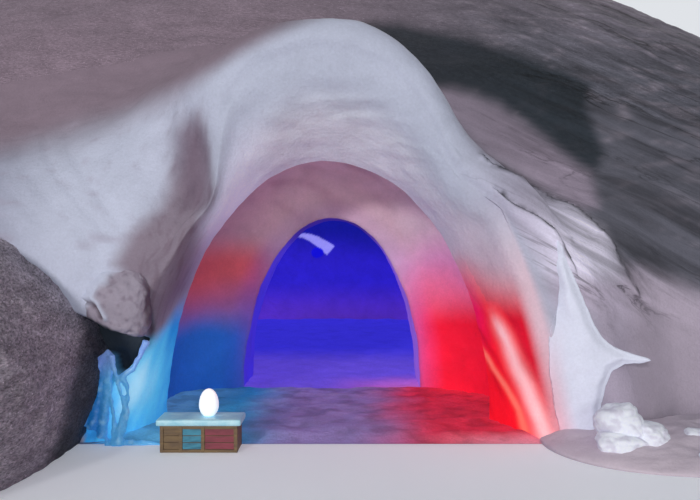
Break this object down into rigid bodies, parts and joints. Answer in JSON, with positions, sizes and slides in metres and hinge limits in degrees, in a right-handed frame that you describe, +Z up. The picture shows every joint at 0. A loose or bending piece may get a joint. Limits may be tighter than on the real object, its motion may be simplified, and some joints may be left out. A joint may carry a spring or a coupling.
{
  "type": "igloo",
  "caption": "Walk-in snow house: wind-packed mound over a domed chamber, with a bell-mouthed hood, small domed porch and arched doorway.",
  "frame": {"origin": "on the ground, at the middle of the mound's plan", "axes": "+Z up, the entrance faces -Y, +X to the right of someone who looks at the entrance"},
  "size_m": [18, 16.7906, 6.1998],
  "materials": {
    "mound_snow": "wind-packed snow, fine ripples, matte",
    "smooth_snow": "blown and hand-smoothed snow, matte, lit in colour near the ground",
    "trodden_snow": "trodden snow, lumpy, matte",
    "blue_ice": "thin clear-blue ice, glazed",
    "bench_panels": "worn painted boards",
    "bench_top": "pale slab dusted with snow",
    "lamp": "frosted, glowing"
  },
  "bodies": {
    "root": {"hood_right_cheek": "smooth_snow", "hood_right_haunch": "smooth_snow", "hood_crown": "smooth_snow", "hood_left_haunch": "smooth_snow", "hood_left_cheek": "smooth_snow", "porch_right_wall": "smooth_snow", "porch_right_haunch": "smooth_snow", "porch_roof": "smooth_snow", "porch_left_haunch": "smooth_snow", "porch_left_wall": "smooth_snow", "bulkhead_right": "smooth_snow", "bulkhead_right_haunch": "smooth_snow", "bulkhead_head": "smooth_snow", "bulkhead_left_haunch": "smooth_snow", "bulkhead_left": "smooth_snow", "chamber_front_right": "mound_snow", "chamber_front_right_haunch": "mound_snow", "chamber_front_crown": "mound_snow", "chamber_front_left_haunch": "mound_snow", "chamber_front_left": "mound_snow", "chamber_rear_right": "mound_snow", "chamber_rear_right_haunch": "mound_snow", "chamber_rear_crown": "mound_snow", "chamber_rear_left_haunch": "mound_snow", "chamber_rear_left": "mound_snow", "rear_bank": "mound_snow", "porch_floor": "trodden_snow", "doorway_floor": "trodden_snow", "chamber_floor": "trodden_snow", "left_wing": "mound_snow", "left_boss": "smooth_snow", "ice_ribs": "blue_ice", "right_fin": "smooth_snow", "right_apron": "mound_snow", "snow_clods": "mound_snow", "bench_box": "bench_panels", "bench_top_slab": "bench_top", "egg_lamp": "lamp"}
  },
  "joints": []
}
